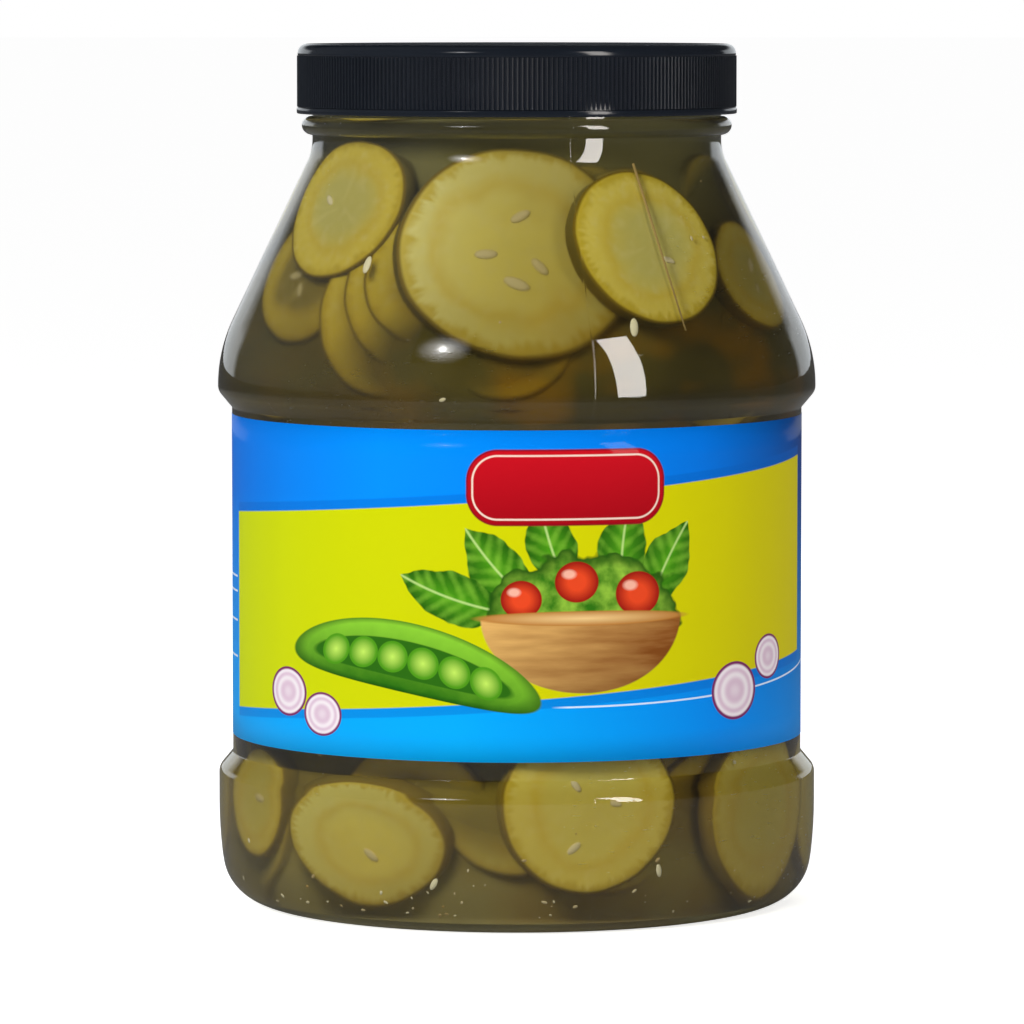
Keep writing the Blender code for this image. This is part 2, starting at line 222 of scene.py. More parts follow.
class Finish:
    """One material, or the sky, built up from its nodes."""

    def __init__(self, name, owner=None):
        self.material = owner or bpy.data.materials.new(name)
        self.material.use_nodes = True
        self.tree = self.material.node_tree
        self.shader = self.tree.nodes["Background" if owner else "Principled BSDF"]

    def node(self, kind, settings=None, inputs=None, output=0):
        made = self.tree.nodes.new(kind)
        for name, value in (settings or {}).items():
            if name == "stops":
                ramp = made.color_ramp
                for index, (place, color) in enumerate(value):
                    stop = ramp.elements[index] if index < 2 else ramp.elements.new(place)
                    stop.position = place
                    stop.color = (*color, 1.0)
            else:
                setattr(made, name, value)
        for name, value in (inputs or {}).items():
            self.join(made.inputs[name], value)
        return Wire(self, made.outputs[output])

    def join(self, socket, value):
        if isinstance(value, Wire):
            self.tree.links.new(value.socket, socket)
        elif isinstance(value, tuple) and socket.type == "RGBA":
            socket.default_value = (*value, 1.0)
        else:
            socket.default_value = value

    def mix(self, share, first, second, blend="MIX"):
        """The second color over the first, by a share."""
        made = self.tree.nodes.new("ShaderNodeMix")
        made.data_type = "RGBA"
        made.blend_type = blend
        self.join(made.inputs[0], share)
        self.join(made.inputs[6], first)
        self.join(made.inputs[7], second)
        return Wire(self, made.outputs[2])

    def place(self, scale=(1.0, 1.0, 1.0)):
        """Object coordinates, stretched by a Mapping node."""
        where = self.node("ShaderNodeTexCoord", output="Object")
        return self.node("ShaderNodeMapping", {}, {"Vector": where, "Scale": scale})

    def noise(self, scale, detail=3.0, stretch=(1.0, 1.0, 1.0), vector=None):
        inputs = {"Vector": vector or self.place(stretch), "Scale": scale, "Detail": detail}
        return self.node("ShaderNodeTexNoise", {}, inputs, "Fac")

    def parts(self, vector):
        """The three parts of a vector."""
        apart = self.node("ShaderNodeSeparateXYZ", {}, {0: vector}).socket.node
        return [Wire(self, socket) for socket in apart.outputs]

    def wrap(self):
        """The parts of the UV: once round, and along the outline or across a slice."""
        return self.parts(self.node("ShaderNodeUVMap", {"uv_map": "wrap"}))

    def attribute(self, name):
        return self.node("ShaderNodeAttribute", {"attribute_name": name}, {}, "Fac")

    def ray(self, name):
        return self.node("ShaderNodeLightPath", {}, {}, name)

    def bump(self, height, strength, distance):
        inputs = {"Height": height, "Strength": strength, "Distance": distance}
        self.set(Normal=self.node("ShaderNodeBump", {}, inputs))

    def set(self, **values):
        for name, value in values.items():
            self.join(self.shader.inputs[name.replace("_", " ")], value)

    def lets_lamps_through(self, tint):
        """Lets lamp light pass the clear wall straight on, so that it reaches what lies behind."""
        passing = self.node("ShaderNodeBsdfTransparent", {}, {"Color": tint})
        shadow = self.ray("Is Shadow Ray")
        out = self.tree.nodes["Material Output"]
        shaders = {0: shadow, 1: Wire(self, self.shader.outputs[0]), 2: passing}
        self.join(out.inputs["Surface"], self.node("ShaderNodeMixShader", {}, shaders))


def color(code):
    """A linear color from its six-figure screen code."""
    parts = [int(code[index:index + 2], 16) / 255 for index in (0, 2, 4)]
    return tuple(part / 12.92 if part <= 0.04045 else ((part + 0.055) / 1.055) ** 2.4 for part in parts)


def clear_plastic():
    finish = Finish("clear_pet")
    finish.set(Base_Color=PLASTIC_TINT, IOR=PLASTIC_IOR, Transmission_Weight=1.0)
    waves = finish.noise(34.0, 2.0, (1.0, 1.0, 0.7))
    around, down, _ = finish.wrap()
    azimuth = (around - 0.5) * 360.0
    grazes = finish.node("ShaderNodeCombineXYZ", {}, {0: azimuth * 0.30, 1: down * 700.0})
    graze = finish.noise(1.0, 2.0, vector=grazes)
    rubbed = finish.noise(16.0, 1.0).over(0.55, 0.12)
    seam = 1.0 - (azimuth - SEAM_AZIMUTH).math("ABSOLUTE").over(2 * SEAM_HALF_WIDTH, 0.1)
    worn = graze.over(0.70, 0.02) * rubbed * 0.30
    finish.set(Roughness=(worn + seam * 0.09 + 0.012).math("MINIMUM", 0.5))
    finish.bump(waves + graze * (rubbed * 0.05 + 0.010), 0.5, 0.5 * MM)
    finish.lets_lamps_through(PLASTIC_TINT)
    return finish.material


outer_side = body_outline()
inner_side = moved_in(outer_side, WALL)
bead = arc((NECK_RADIUS, BEAD_MIDDLE), BEAD_DEPTH, math.pi / 2, -math.pi / 2, 16, BEAD_HALF_HEIGHT)
outline = [(0.0, PUSH_UP_HEIGHT + WALL), (PUSH_UP_RADIUS, PUSH_UP_EDGE + WALL)]
outline += list(reversed(inner_side)) + [(NECK_RADIUS - WALL, LIP_TOP), (NECK_RADIUS, LIP_TOP)]
outline += bead + outer_side + [(PUSH_UP_RADIUS, PUSH_UP_EDGE), (0.0, PUSH_UP_HEIGHT)]
seams = (SEAM_AZIMUTH, SEAM_AZIMUTH - 180.0)
jar = turned("clear_jar", outline, seams=seams, lift=SEAM_HEIGHT)
jar.data.materials.append(clear_plastic())
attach(jar, "root")
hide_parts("jar")


# Brine
# The salad lies in a murky vinegar brine that fills the jar to just under its lip. It reaches a little way
# into the plastic wall, so that no air shows between them.
BRINE_INTO_WALL = 0.25 * MM
BRINE_TOP = 200.0 * MM
BRINE_IOR = 1.34
BRINE_TINT, BRINE_LAMP_TINT = (0.97, 0.97, 0.84), (1.0, 0.99, 0.90)


def brine_finish():
    finish = Finish("brine")
    finish.set(Base_Color=BRINE_TINT, Roughness=0.24, IOR=BRINE_IOR, Transmission_Weight=1.0)
    finish.set(Specular_Tint=(0.4, 0.4, 0.4))
    finish.lets_lamps_through(BRINE_LAMP_TINT)
    return finish.material


brine_side = moved_in(outer_side, WALL - BRINE_INTO_WALL)
brine_outline = [(0.0, BRINE_TOP), (NECK_RADIUS - WALL + BRINE_INTO_WALL, BRINE_TOP)]
brine_outline += brine_side + [(PUSH_UP_RADIUS, PUSH_UP_EDGE + WALL - BRINE_INTO_WALL)]
brine_outline += [(0.0, PUSH_UP_HEIGHT + WALL - BRINE_INTO_WALL)]
brine = turned("brine", brine_outline)
brine.data.materials.append(brine_finish())
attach(brine, "root")
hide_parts("cucumber_slices")


# Cucumber slices
# Round slices of pickled cucumber with their skin on, cut a few millimetres thick. Those next to the wall
# lie flat against it and bend a little with it, and deeper ones sink into the murk.
SLICE_THICKNESS = 5.0 * MM
SLICE_GAP = 0.6 * MM
SLICE_BEND = 0.6
SLICE_SIDES, HIDDEN_SIDES = 72, 48
SLICE_OUTLINE = 0.97
SLICE_RINGS = (0.12, 0.25, 0.38, 0.48, 0.56, 0.62, 0.68, 0.78, 0.88, 0.94)
SLICE_BACK_RINGS = (0.94, 0.56)
HEAP_SEED = 11
BACK_RADII, BACK_DEPTH = (16.5, 20.5), 3.0
DEEP_SLICES = 44
DEEP_HEIGHTS, DEEP_RADII, DEEP_DEPTHS = ((22, 36), (124, 150), (140, 164)), (13, 18), (7.5, 9.8)
STACK_RISE, STACK_TURN, STACK_RADIUS, STACK_DEPTH = 2.5, 2, 0.85, 5.4
FADE_DEPTH = 15.0
inner_heights = [height for _, height in reversed(inner_side)]
inner_radii = [radius for radius, _ in reversed(inner_side)]

# Degrees round the jar from its front, height, radius, how far the face is turned aside and leans up, in
# degrees, and how deep the nearest rim lies behind the wall.
FRONT_SLICES = [
    (-51.8, 168.3, 18.7, 4, 25, 0.0),
    (0.0, 158.3, 27.7, 7, 22, 0.0),
    (33.2, 159.7, 19.9, 0, 24, 0.0),
    (-60, 150.5, 17.0, 4, 20, 5.0),
    (-30, 143.5, 19.5, 10, 14, 4.2),
    (-24, 148.5, 19.0, 10, 14, 3.6),
    (-18, 152.5, 19.0, 10, 14, 3.0),
    (70, 150.3, 14.5, 0, 24, 6.0),
    (-33, 20.8, 17.8, 4, -14, 0.0),
    (-23.5, 27.0, 18.0, 4, -5, 5.6),
    (14.8, 30.0, 20.9, 0, 0, 0.5),
    (22.5, 31.0, 19.0, 4, 0, 5.6),
    (59.5, 26.0, 20.5, 2, -3, 0.5),
    (47, 24.0, 19.0, 0, -6, 6.2),
    (-67, 27.0, 13.0, 0, 0, 3.5),
]
# How ripe each of them is: 0 has a dark hollow heart and 1 a full yellow one.
FRONT_RIPE = [0.12, 0.9, 0.25, 0.035, 0.05, 0.035, 0.03, 0.3, 0.95, 0.0, 0.5, 0.0, 0.45, 0.0, 0.4]
# The slice low at the left is drawn out sideways.
WIDE_SLICE = FRONT_SLICES[8]
WIDE_SHAPE = (1.20, 0.84)
# Height, how far the faces lean up, how many, and the azimuths of the first and the last.
BACK_ROWS = [(165.5, 24, 5, 100, 250), (143.0, 20, 5, 112, 246), (26.0, -4, 6, 92, 265)]


def inner_radius(height):
    """The jar's inner radius at a height."""
    index = min(max(bisect.bisect(inner_heights, height), 1), len(inner_heights) - 1)
    low, high = inner_heights[index - 1], inner_heights[index]
    share = min(max((height - low) / max(high - low, 1e-9), 0.0), 1.0)
    return inner_radii[index - 1] + (inner_radii[index] - inner_radii[index - 1]) * share


def slice_frame(place, distance):
    """A slice's own axes and centre: x aside, y up, z outwards."""
    azimuth, height, radius, turn, lean, depth = place
    at = math.radians(azimuth)
    facing = math.radians(azimuth + turn)
    tilt = math.radians(lean)
    level = math.cos(tilt)
    outwards = Vector((math.sin(facing) * level, -math.cos(facing) * level, math.sin(tilt)))
    aside = Vector((math.cos(facing), math.sin(facing), 0.0))
    matrix = Matrix((aside, outwards.cross(aside), outwards)).transposed().to_4x4()
    matrix.translation = (math.sin(at) * distance, -math.cos(at) * distance, height * MM)
    return matrix


def bent(point, place):
    """A point of a flat slice after the slice has settled a little round the wall."""
    wide, high = WIDE_SHAPE if place[:2] == WIDE_SLICE[:2] else (1.0, 1.0)
    sink = SLICE_BEND * (point.x * wide) ** 2 / (2 * inner_radius(place[1] * MM))
    return Vector((point.x * wide, point.y * high, point.z - sink))


def wall_depth(point):
    return inner_radius(point.z) - math.hypot(point.x, point.y)


def pushed_out(place):
    """The slice's frame at the distance where its nearest rim is as deep as it should be."""
    low, high = 0.0, 2 * BODY_RADIUS
    turns = [math.radians(angle) for angle in range(0, 360, 15)]
    rim = [Vector((math.cos(turn), math.sin(turn), 0.0)) * place[2] * MM for turn in turns]
    for _ in range(24):
        middle = (low + high) / 2
        matrix = slice_frame(place, middle)
        room = min(wall_depth(matrix @ bent(point, place)) for point in rim)
        if room > place[5] * MM + SLICE_GAP:
            low = middle
        else:
            high = middle
    return slice_frame(place, low)


def all_slices():
    """The slices in front, those round the back by a rule, and one more behind each of them."""
    draw = random.Random(HEAP_SEED)
    places = list(FRONT_SLICES)
    for height, lean, count, first, last in BACK_ROWS:
        for index in range(count):
            azimuth = first + (last - first) * index / (count - 1) + draw.uniform(-5, 5)
            radius = draw.uniform(*BACK_RADII)
            middle = height + draw.uniform(-3, 3)
            depth = BACK_DEPTH * (index % 2)
            places.append((azimuth, middle, radius, draw.uniform(-6, 6), lean, depth))
    draw = random.Random(HEAP_SEED + 1)
    deep = []
    for index in range(DEEP_SLICES):
        azimuth = 360.0 * index / DEEP_SLICES + draw.uniform(-12, 12)
        height = draw.choice([draw.uniform(*span) for span in DEEP_HEIGHTS])
        place = (azimuth, height, draw.uniform(*DEEP_RADII), draw.uniform(-12, 12), draw.uniform(0, 20))
        place += (draw.uniform(*DEEP_DEPTHS),)
        deep.append((place, pushed_out(place), draw.random()))
    stacked = []
    for index, (azimuth, height, radius, turn, lean, depth) in enumerate(places):
        loose = index >= len(FRONT_SLICES)
        shift = draw.uniform(-STACK_TURN, STACK_TURN) * loose
        rise = draw.uniform(-STACK_RISE, STACK_RISE) * loose
        behind = (azimuth + shift, height + rise, radius * STACK_RADIUS, turn, lean, depth + STACK_DEPTH)
        ripe = draw.random() if loose else FRONT_RIPE[index]
        for place in ((azimuth, height, radius, turn, lean, depth), behind):
            stacked.append((place, pushed_out(place), ripe))
    return stacked + deep


def add_slice(mesh, place, matrix, ripe, draw, layers, sides):
    """One slice with an uneven outline, a slightly sunk seed ring and rounded rims."""
    wrap, sunk, tint = layers
    radius = place[2] * MM
    spin, lobe, oval = draw.uniform(0, math.tau), draw.uniform(0.008, 0.022), draw.uniform(0.0, 0.03)
    half = SLICE_THICKNESS / 2

    def ring(share, level):
        verts = []
        for side in range(sides):
            turn = math.tau * side / sides
            reach = SLICE_OUTLINE + lobe * math.cos(3 * (turn + spin)) + oval * math.cos(2 * turn + spin)
            reach += 0.003 * math.sin(11 * turn + spin) * (share > 0.9)
            around = Vector((math.cos(turn), math.sin(turn), 0.0))
            point = bent(around * share * reach * radius, place)
            point.z += level - half
            vert = mesh.verts.new(matrix @ point)
            vert[sunk] = max(wall_depth(vert.co), 0.0) / MM
            vert[tint] = ripe
            turn += spin
            verts.append((vert, (0.5 + 0.5 * share * math.cos(turn), 0.5 + 0.5 * share * math.sin(turn))))
        return verts

    def relief(share):
        return -0.30 * MM * max(0.0, 1 - (share / 0.6) ** 4) - 0.10 * MM * max(0.0, share - 0.9) / 0.1

    rings = [ring(share, half + relief(share)) for share in SLICE_RINGS]
    rings += [ring(0.992, half - 0.3 * MM), ring(1.0, half - 0.8 * MM), ring(1.0, 0.8 * MM - half)]
    rings += [ring(0.992, 0.3 * MM - half)]
    rings += [ring(share, -half - relief(share)) for share in SLICE_BACK_RINGS]
    for upper, lower in zip(rings, rings[1:]):
        for side in range(sides):
            beside = (side + 1) % sides
            corners = [upper[side], lower[side], lower[beside], upper[beside]]
            face = mesh.faces.new([vert for vert, _ in corners])
            for loop, (_, uv) in zip(face.loops, corners):
                loop[wrap].uv = uv
    for cap in (rings[0], list(reversed(rings[-1]))):
        face = mesh.faces.new([vert for vert, _ in cap])
        for loop, (_, uv) in zip(face.loops, cap):
            loop[wrap].uv = uv


def murk_tone(finish):
    """The murky brine's color, dark olive above and browner in the foot, where it is also lighter as painted
    light from the floor; paler along the very bottom as a painted floor reflection, and paler in the neck as
    painted haze.
    """
    soft = finish.noise(30.0, 2.0, (1.0, 1.0, 1.6))
    patch = finish.noise(40.0, 2.0, (1.0, 1.0, 1.5))
    across, _, height = finish.parts(finish.place())
    tone = finish.mix(soft.over(0.5, 0.3), color("4a4118"), color("5f5424"))
    # Painted light from the floor: the foot is lighter than the murk above it, as well as browner.
    foot = finish.mix(soft.over(0.5, 0.3), color("82702a"), color("998530"))
    tone = finish.mix(height.over(0.075, 0.05), foot, tone)
    # Painted haze of light: the murk is paler grey-olive in the neck, above 174 mm.
    tone = finish.mix(height.over(0.174, 0.03) * 0.8, tone, color("a39c68"))
    # Painted floor reflection: a pale band along the very bottom of the murk, below about 14 mm.
    tone = finish.mix((1.0 - height.over(0.014, 0.02)) * 0.5, tone, color("aea678"))
    glow = (1.0 - height.over(0.143, 0.03)) * (height.over(0.060, 0.04) * 0.6 + 0.4)
    glow = glow * (across.over(-0.018, 0.04) * 0.8 + 0.2)
    return finish.mix(patch.over(0.51, 0.13) * glow, tone, color("84600a"))


def behind_brine(finish, body):
    """The color of a thing in the brine: yellower and then murkier the deeper it lies."""
    sunk = finish.attribute("sunk")
    veiled = finish.mix((sunk / 14.0).clamp(), body, (0.84, 0.68, 0.22), "MULTIPLY")
    height = finish.parts(finish.place())[2]
    clearer = height.over(0.075, 0.05) * 0.35 + 0.65
    fade = 1.0 - ((sunk - 0.8).math("MAXIMUM", 0.0) * clearer * (-1.0 / FADE_DEPTH)).math("EXPONENT")
    return finish.mix(fade.math("MAXIMUM", sunk.over(9.5, 5.0)), veiled, murk_tone(finish))


def slice_finish():
    finish = Finish("cucumber")
    across, upward, _ = finish.wrap()
    across, upward = across - 0.5, upward - 0.5
    out = (across * across + upward * upward).math("SQRT") * 2.0
    turn = upward.math("ARCTAN2", across)
    ripe = finish.attribute("tint")
    cloud = finish.noise(70.0, 3.0)
    fine = finish.noise(420.0, 3.0)
    ray = finish.node("ShaderNodeCombineXYZ", {}, {0: turn * 14.0, 1: out * 3.0, 2: ripe * 20.0})
    rays = finish.noise(1.0, 3.0, vector=ray)
    edge = out + (cloud - 0.5) * 0.4
    flesh = finish.mix(ripe, color("ead246"), color("ece49a"))
    flesh = finish.mix((rays - 0.48).math("MULTIPLY", 1.2, clamp=True), flesh, color("f8eb88"))
    heart = finish.mix(ripe.over(0.5, 0.6), color("d6ce7c"), color("fff494"))
    heart = finish.mix((cloud - 0.48).math("MULTIPLY", 1.5, clamp=True), heart, color("e4ce62"))
    hollow = (1.0 - ripe.over(0.05, 0.05)) * (1.0 - edge.over(0.60, 0.2))
    body = finish.mix(edge.over(0.56, 0.42), heart, flesh)
    body = finish.mix(hollow * 0.8, body, color("7a6420"))
    ring_line = 1.0 - (edge - 0.64).math("ABSOLUTE").over(0.04, 0.16)
    body = finish.mix(ring_line * 0.55, body, color("e1c026"))
    lobe = (turn * 1.5).math("COSINE").math("ABSOLUTE")
    vein = (1.0 - lobe.over(0.15, 0.25)) * (1.0 - out.over(0.48, 0.2)) * out.over(0.08, 0.12)
    body = finish.mix(vein * 0.25, body, color("f4ebaa"))
    body = finish.mix((fine - 0.52).math("MULTIPLY", 0.9, clamp=True), body, color("fbf6cc"))
    spikes = (out + (rays - 0.5) * 0.30).over(0.895, 0.08)
    body = finish.mix(spikes * 0.7, body, color("ccb018"))
    body = finish.mix(out.over(0.968, 0.025) * 0.85, body, color("6b510c"))
    height = finish.parts(finish.place())[2]
    body = finish.mix(1.0 - height.over(0.075, 0.05), body, (1.05, 1.02, 0.74), "MULTIPLY")
    side = finish.mix(0.65, color("8a7626"), murk_tone(finish))
    body = finish.mix(out.over(0.997, 0.004), body, side)
    finish.set(Base_Color=behind_brine(finish, body), Roughness=0.5, Specular_IOR_Level=0.04)
    finish.bump(cloud + fine * 0.3 + rays * 0.3, 0.35, 0.35 * MM)
    return finish.material


def heap_piece(name, build, finish):
    """One mesh of many things in the brine, with their UV, their depth and their own tint."""
    mesh = bmesh.new()
    layers = (
        mesh.loops.layers.uv.new("wrap"),
        mesh.verts.layers.float.new("sunk"),
        mesh.verts.layers.float.new("tint"),
    )
    build(mesh, layers)
    piece = bpy.data.objects.new(name, bpy.data.meshes.new(name))
    in_scene(piece)
    mesh.to_mesh(piece.data)
    mesh.free()
    piece.data.shade_smooth()
    piece.data.materials.append(finish)
    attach(piece, "root")
    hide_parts("cucumber_slices")
    return piece


def build_slices(mesh, layers):
    draw = random.Random(HEAP_SEED + 2)
    nearest = range(0, len(laid_slices) - DEEP_SLICES, 2)
    for index, (place, matrix, ripe) in enumerate(laid_slices):
        add_slice(mesh, place, matrix, ripe, draw, layers, SLICE_SIDES if index in nearest else HIDDEN_SIDES)


laid_slices = all_slices()
heap_piece("slices", build_slices, slice_finish())


# Seeds, crumbs and a strand
# Pale flat seeds sit in the middle of the slices, a few float free by the wall, crumbs of flesh have sunk
# to the foot, and one thin strand of stalk lies across a slice at the right.
SEED_SIZE = (3.2 * MM, 1.4 * MM, 0.6 * MM)
BIG_SLICE = 2
# Aside and up on the slice, turn in degrees and size, and for loose ones azimuth, height, turn and size.
BIG_SLICE_SEEDS = [
    (-7.0, -0.6, 0, 0.85),
    (-0.4, -8.2, -25, 1.0),
    (5.0, -4.0, -50, 0.8),
    (1.2, 8.6, 30, 0.8),
]
LOOSE_SEEDS = [
    (24.0, 141.5, 80, 0.75),
    (-35.5, 155.5, 86, 0.70),
    (-16, 12.5, 60, 0.5),
    (28, 15.0, 100, 0.5),
]
STRAND_ENDS = [(33.6, 179.0), (35.6, 140.5)]
STRAND_RADIUS = 0.38 * MM
CRUMBS = 150


ball = bmesh.new()
bmesh.ops.create_uvsphere(ball, u_segments=12, v_segments=8, radius=1.0)
BALL_POINTS = [vert.co.copy() for vert in ball.verts]
BALL_FACES = [[vert.index for vert in face.verts] for face in ball.faces]
ball.free()


def add_ellipsoid(mesh, matrix, size, layers, ripe):
    _, sunk, tint = layers
    shape = matrix @ Matrix.Diagonal((*size, 1.0))
    verts = [mesh.verts.new(shape @ point) for point in BALL_POINTS]
    for face in BALL_FACES:
        mesh.faces.new([verts[index] for index in face])
    for vert in verts:
        vert[sunk] = max(wall_depth(vert.co), 0.0) / MM
        vert[tint] = ripe


def by_wall(azimuth, height, depth, turn):
    """A frame flat against the wall, turned by some degrees in its plane."""
    at = math.radians(azimuth)
    distance = inner_radius(height * MM) - depth
    slope = math.atan2(inner_radius((height - 2) * MM) - inner_radius((height + 2) * MM), 4 * MM)
    out = Vector((math.sin(at) * math.cos(slope), -math.cos(at) * math.cos(slope), math.sin(slope)))
    aside = Vector((math.cos(at), math.sin(at), 0.0))
    matrix = Matrix((aside, out.cross(aside), out)).transposed().to_4x4()
    matrix.translation = (math.sin(at) * distance, -math.cos(at) * distance, height * MM)
    return matrix @ Matrix.Rotation(math.radians(turn), 4, "Z")


def build_bits(mesh, layers):
    draw = random.Random(HEAP_SEED + 3)
    for index, (place, matrix, _) in enumerate(laid_slices):
        seeds = []
        for group in range(3 if index % 2 == 0 else 0):
            for _ in range(draw.choice((0, 0, 1, 1))):
                turn = math.tau * group / 3 + draw.uniform(-0.45, 0.45) + place[0]
                reach = draw.uniform(0.18, 0.50) * place[2]
                aim = math.degrees(turn + draw.uniform(-0.5, 0.5))
                seeds.append((reach * math.cos(turn), reach * math.sin(turn), aim, draw.uniform(0.4, 0.75)))
        for aside, up, aim, scale in BIG_SLICE_SEEDS if index == BIG_SLICE else seeds:
            point = bent(Vector((aside * MM, up * MM, 0.0)), place)
            point.z -= 0.15 * MM
            seed = matrix @ Matrix.Translation(point) @ Matrix.Rotation(math.radians(aim), 4, "Z")
            add_ellipsoid(mesh, seed, [side * scale for side in SEED_SIZE], layers, draw.uniform(0.8, 1.0))
    for azimuth, height, turn, scale in LOOSE_SEEDS:
        matrix = by_wall(azimuth, height, 0.8 * MM, turn)
        add_ellipsoid(mesh, matrix, [side * scale for side in SEED_SIZE], layers, 1.0)
    for _ in range(CRUMBS):
        azimuth = draw.uniform(-180, 180)
        height = 5.0 + 14.0 * draw.random() ** 2 if draw.random() < 0.75 else draw.uniform(12, 180)
        size = draw.uniform(0.12, 0.45) * MM
        matrix = by_wall(azimuth, height, 0.6 * MM, draw.uniform(0, 180))
        add_ellipsoid(mesh, matrix, (size * draw.uniform(1, 2.2), size, size * 0.6), layers, draw.random())
    first, last = [by_wall(azimuth, height, 0.55 * MM, 0).translation for azimuth, height in STRAND_ENDS]
    aim = (last - first).to_track_quat("Z", "Y").to_matrix().to_4x4()
    shape = Matrix.Translation((first + last) / 2) @ aim
    made = bmesh.ops.create_cone(mesh, cap_ends=True, segments=10, radius1=STRAND_RADIUS,
                                 radius2=STRAND_RADIUS * 0.6, depth=(last - first).length, matrix=shape)
    for vert in made["verts"]:
        vert[layers[1]] = 0.8
        vert[layers[2]] = 0.15


def bit_finish():
    finish = Finish("seed")
    ripe = finish.attribute("tint")
    body = finish.mix(ripe, color("b08c3c"), color("fff6d8"))
    finish.set(Base_Color=behind_brine(finish, body), Roughness=0.45, Specular_IOR_Level=0.1)
    return finish.material


heap_piece("seeds_and_crumbs", build_bits, bit_finish())


# Packed middle
# Behind the slices that show, the jar is full of more of them, lost in the murky brine: a dark olive mass
# with soft brown and yellow patches.
CORE_INSET, CORE_TOP_INSET = 12.0 * MM, 2.5 * MM
CORE_LOW, CORE_HIGH, CORE_EASE = 5.5 * MM, 199.0 * MM, 9.0 * MM
SILT_HEIGHT, SILT_INSET = 3.4 * MM, 0.8 * MM


def murk_finish():
    finish = Finish("murk")
    finish.set(Base_Color=murk_tone(finish), Roughness=0.7, Specular_IOR_Level=0.03)
    return finish.material


core_heights = [CORE_HIGH - (CORE_HIGH - CORE_LOW) * step / 60 for step in range(61)]
core_outline = [(0.0, CORE_HIGH)]
for height in core_heights:
    share = min((CORE_HIGH - height) / CORE_EASE, 1.0) ** 2
    inset = CORE_TOP_INSET + (CORE_INSET - CORE_TOP_INSET) * share
    core_outline.append((inner_radius(height) - inset, height))
silt_edge = inner_radius(SILT_HEIGHT) - SILT_INSET
core_outline += [(silt_edge, SILT_HEIGHT), (silt_edge - 3.0 * MM, SILT_HEIGHT - 1.0 * MM)]
core_outline += [(PUSH_UP_RADIUS, PUSH_UP_HEIGHT + 2 * WALL), (0.0, PUSH_UP_HEIGHT + 2 * WALL)]
core = turned("packed_middle", core_outline, 96)
core.data.materials.append(murk_finish())
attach(core, "root")
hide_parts("cucumber_slices")


# Wrap label
# One strip of glossy printed film, wrapped once round the panel and joined at the back. The front has a
# slanted yellow field on blue, with a plain red badge and a salad bowl with leaves.
LABEL_RADIUS = (label_high[0] - label_low[0]) / 2
LABEL_BOTTOM, LABEL_TOP = label_low[2], label_high[2]
LABEL_TALL = (LABEL_TOP - LABEL_BOTTOM) / MM
LABEL_LONG = math.tau * LABEL_RADIUS / MM
SLANT = 0.073
FIELD_LEFT, FIELD_RIGHT, FIELD_BOTTOM, FIELD_TOP = -90.2, 93.5, 14.3, 61.2
BOWL_MIDDLE = 16.0
BADGE_MIDDLE, BADGE_HEIGHT = 12.0, 64.0
BADGE_HALF_LONG, BADGE_HALF_TALL, BADGE_CORNER = 16.5, 1.5, 7.0
BACK_PANEL, BACK_HEIGHT, RULE_STEP = 160.0, 38.0, 3.2
PEAS, PEA_STEP = 6, 7.8
UPPER_BLUES = [(0.0, "0076e6"), (0.30, "0090fe"), (0.72, "0078e7"), (0.98, "003e8c")]
LOWER_BLUES = [(0.0, "00aaff"), (0.40, "00b2ff"), (0.75, "0093fa"), (0.98, "0090ec")]
LEAVES = [
    (36, 45, 12, 6, 62),
    (-4, 44, 13, 6.5, 132),
    (25, 49, 12, 6, 85),
    (-15, 38, 14, 6, 162),
    (8, 50, 11, 6, 108),
]
TOMATOES = [(29, 39, 5.6), (14, 42, 5.2), (1, 38, 4.8)]
ONION_RINGS = [(58, 14.5, 8.0), (-62, 14.0, 6.8), (-50, 9.5, 6.0), (72, 21.5, 6.2)]


